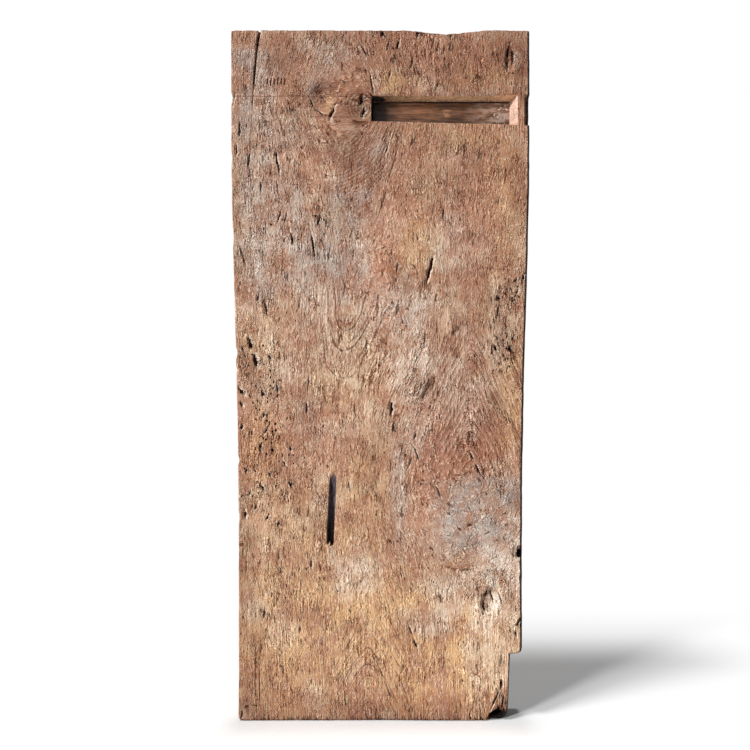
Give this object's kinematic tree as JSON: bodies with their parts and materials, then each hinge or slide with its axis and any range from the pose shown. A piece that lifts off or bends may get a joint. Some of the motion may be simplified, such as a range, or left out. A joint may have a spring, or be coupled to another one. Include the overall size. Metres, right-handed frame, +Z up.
{
  "type": "plank door",
  "caption": "Tall door hewn from one wide weathered plank, with a wooden bolt that slides in a slot near the top and out through the lock edge.",
  "frame": {"origin": "on the floor, under the middle of the plank", "axes": "+Z up, the front face with the slot looks along -Y, the lock edge that the bolt leaves through is at +X"},
  "size_m": [0.737, 0.066, 1.7],
  "materials": {
    "plank_wood": "weathered, dry, unfinished",
    "bolt_wood": "dark, worn, dusty"
  },
  "bodies": {
    "door": {"door_plank": "plank_wood"},
    "bolt": {"sliding_bolt": "bolt_wood"}
  },
  "joints": [
    {"name": "bolt_slide", "type": "slide", "parent": "door", "child": "bolt", "axis": [1, 0, 0], "range_m": [0, 0.08]}
  ]
}
